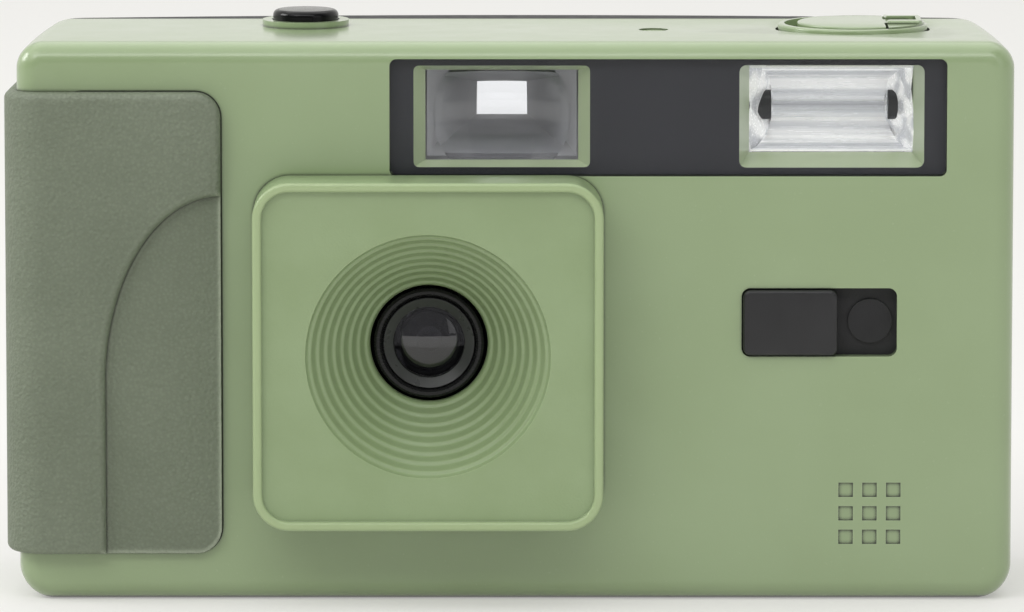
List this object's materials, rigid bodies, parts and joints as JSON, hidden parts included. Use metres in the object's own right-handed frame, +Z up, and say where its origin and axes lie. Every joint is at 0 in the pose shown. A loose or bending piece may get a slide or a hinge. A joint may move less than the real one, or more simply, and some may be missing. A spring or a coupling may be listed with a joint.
{
  "type": "film camera",
  "caption": "Compact 35 mm film camera with square lens shroud, stepped funnel, window strip with finder and flash, wrap-round grip, sliding flash switch and opening back.",
  "frame": {"origin": "middle of the flat base: centred across the housing and between its front plane and the rear of its back", "axes": "+X to the right as the camera is looked at from the front, +Y from the front to the rear (the lens looks along -Y), +Z up"},
  "size_m": [0.1185, 0.0438, 0.068],
  "materials": {
    "shell_green": "fine satin moulded texture",
    "grip_rubber": "fine pebbled matt rubber",
    "black_plastic": "matt moulded",
    "gloss_black": "polished",
    "cap_black": "fine satin",
    "clear_lens": "polished clear",
    "mask_grey": "gloss print behind clear plastic",
    "foil": "bright foil",
    "flash_glass": "clear glass",
    "spring_steel": "drawn wire and strip",
    "dark_metal": "matt black coating",
    "board": "resin board",
    "can": "sleeved can",
    "core": "ferrite with taped winding",
    "lamp": "translucent tinted",
    "cell": "plain wrapped cell",
    "foam": "soft black foam",
    "dial_white": "white with plain numbers"
  },
  "bodies": {
    "camera": {"front_shell": "shell_green", "grip_cover": "grip_rubber", "lens_shroud": "shell_green", "lens_retaining_ring": "gloss_black", "lens_holder": "black_plastic", "front_lens": "clear_lens", "rear_lens": "clear_lens", "aperture_stop": "dark_metal", "shutter_plate": "dark_metal", "button_spring": "spring_steel", "window_strip": "clear_lens", "window_mask": "mask_grey", "viewfinder_objective": "clear_lens", "viewfinder_tunnel": "black_plastic", "viewfinder_eyepiece": "clear_lens", "flash_reflector": "foil", "flash_tube": "flash_glass", "tube_ends": "black_plastic", "switch_bed": "black_plastic", "light_box": "black_plastic", "cassette_chamber": "black_plastic", "take_up_chamber": "black_plastic", "counter_window": "clear_lens", "rear_frame": "black_plastic", "hinge_pins": "spring_steel", "light_seal": "foam", "battery_tube": "black_plastic", "battery": "cell", "battery_contacts": "spring_steel", "lid_pin": "spring_steel", "flash_board": "board", "flash_capacitor": "can", "flash_transformer": "core", "ready_lamp": "lamp", "housing_screws": "spring_steel"},
    "shutter_button": {"shutter_button": "gloss_black"},
    "release_lever": {"release_lever": "black_plastic"},
    "shutter_blade": {"shutter_blade": "dark_metal"},
    "flash_switch": {"flash_switch": "cap_black"},
    "advance_wheel": {"advance_wheel": "black_plastic"},
    "take_up_spool": {"take_up_spool": "black_plastic"},
    "sprocket": {"sprocket": "black_plastic"},
    "counter_dial": {"counter_dial": "dial_white"},
    "rewind_knob": {"rewind_knob": "shell_green"},
    "crank_arm": {"crank_arm": "shell_green"},
    "rear_door": {"rear_door": "black_plastic", "cassette_window": "clear_lens"},
    "door_latch": {"door_latch": "cap_black"},
    "pressure_plate": {"pressure_plate": "dark_metal", "pressure_spring": "spring_steel"},
    "battery_door": {"battery_door": "black_plastic"},
    "rewind_release": {"rewind_release": "cap_black"}
  },
  "joints": [
    {"name": "shutter_press", "type": "slide", "parent": "camera", "child": "shutter_button", "axis": [0, 0, -1], "range_m": [0, 0.0012], "stiffness_N_per_m": 300, "springref_m": -0.001, "deforming": ["button_spring"]},
    {"name": "release_rock", "type": "hinge", "parent": "camera", "child": "release_lever", "pos_m": [-0.0175, 0.00275, 0.0501], "axis": [0, 1, 0], "range_deg": [-10, 0]},
    {"name": "shutter_swing", "type": "hinge", "parent": "camera", "child": "shutter_blade", "pos_m": [-0.0187, -0.00125, 0.0386], "axis": [0, 1, 0], "range_deg": [0, 45], "stiffness_Nm_per_rad": 0.0005, "springref_deg": -20.05},
    {"name": "flash_slide", "type": "slide", "parent": "camera", "child": "flash_switch", "axis": [1, 0, 0], "range_m": [0, 0.0068]},
    {"name": "advance_spin", "type": "hinge", "parent": "camera", "child": "advance_wheel", "pos_m": [-0.042, 0.00825, 0.057], "axis": [0, 0, 1], "continuous": true},
    {"name": "spool_spin", "type": "hinge", "parent": "camera", "child": "take_up_spool", "pos_m": [-0.0445, 0.00285, 0.03], "axis": [0, 0, 1], "continuous": true},
    {"name": "sprocket_spin", "type": "hinge", "parent": "camera", "child": "sprocket", "pos_m": [-0.032, 0.00635, 0.044], "axis": [0, 0, 1], "continuous": true},
    {"name": "counter_spin", "type": "hinge", "parent": "camera", "child": "counter_dial", "pos_m": [-0.0182, 0.01025, 0.058], "axis": [0, 0, 1], "continuous": true},
    {"name": "rewind_spin", "type": "hinge", "parent": "camera", "child": "rewind_knob", "pos_m": [0.0402, 0.00205, 0.06], "axis": [0, 0, 1], "continuous": true},
    {"name": "crank_fold", "type": "hinge", "parent": "rewind_knob", "child": "crank_arm", "pos_m": [0.0466, 0.00205, 0.06615], "axis": [0, 1, 0], "range_deg": [0, 120]},
    {"name": "door_swing", "type": "hinge", "parent": "camera", "child": "rear_door", "pos_m": [-0.0555, 0.01325, 0.02755], "axis": [0, 0, 1], "range_deg": [0, 95]},
    {"name": "latch_slide", "type": "slide", "parent": "rear_door", "child": "door_latch", "axis": [0, 0, 1], "range_m": [0, 0.0025], "stiffness_N_per_m": 150, "springref_m": -0.001},
    {"name": "plate_float", "type": "slide", "parent": "rear_door", "child": "pressure_plate", "axis": [0, 1, 0], "range_m": [0, 0.0003], "stiffness_N_per_m": 300, "springref_m": -0.0005},
    {"name": "lid_swing", "type": "hinge", "parent": "camera", "child": "battery_door", "pos_m": [0.0187, -0.00455, 0.00065], "axis": [-1, 0, 0], "range_deg": [0, 85]},
    {"name": "release_press", "type": "slide", "parent": "camera", "child": "rewind_release", "axis": [0, 0, 1], "range_m": [0, 0.0012], "stiffness_N_per_m": 200, "springref_m": -0.001}
  ],
  "couplings": [
    {"joint": "release_rock", "follows": "shutter_press", "rad_per_m": -133.33},
    {"joint": "spool_spin", "follows": "advance_spin", "ratio": -1},
    {"joint": "sprocket_spin", "follows": "advance_spin", "ratio": 1},
    {"joint": "counter_spin", "follows": "advance_spin", "ratio": -0.025}
  ]
}
